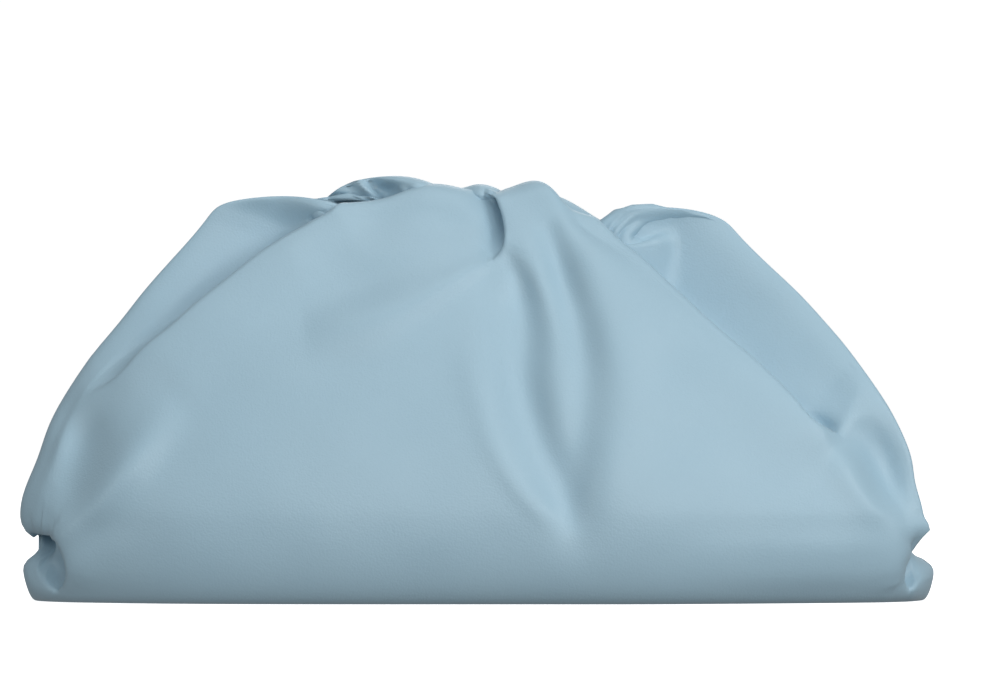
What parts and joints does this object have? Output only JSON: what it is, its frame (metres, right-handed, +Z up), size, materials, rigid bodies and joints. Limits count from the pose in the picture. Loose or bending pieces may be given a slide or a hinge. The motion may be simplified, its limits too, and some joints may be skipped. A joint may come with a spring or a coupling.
{
  "type": "pouch bag",
  "caption": "Soft gathered leather pouch bag: wide rounded body on a flat base, deep folds running up to a narrow closed mouth, tucked-in sides with small pockets at the bottom corners.",
  "frame": {"origin": "middle of the bag's box, on the floor that the flat base stands on", "axes": "+X along the bag's width to the right as the front is seen, +Y to the back, +Z up"},
  "size_m": [0.38, 0.1402, 0.1754],
  "materials": {
    "leather": "smooth soft calf leather with a gentle satin sheen",
    "frame_leather": "the same leather wrapped tightly round the bar, satin"
  },
  "bodies": {
    "root": {"leather_body": "leather", "closure_frame": "frame_leather"}
  },
  "joints": []
}
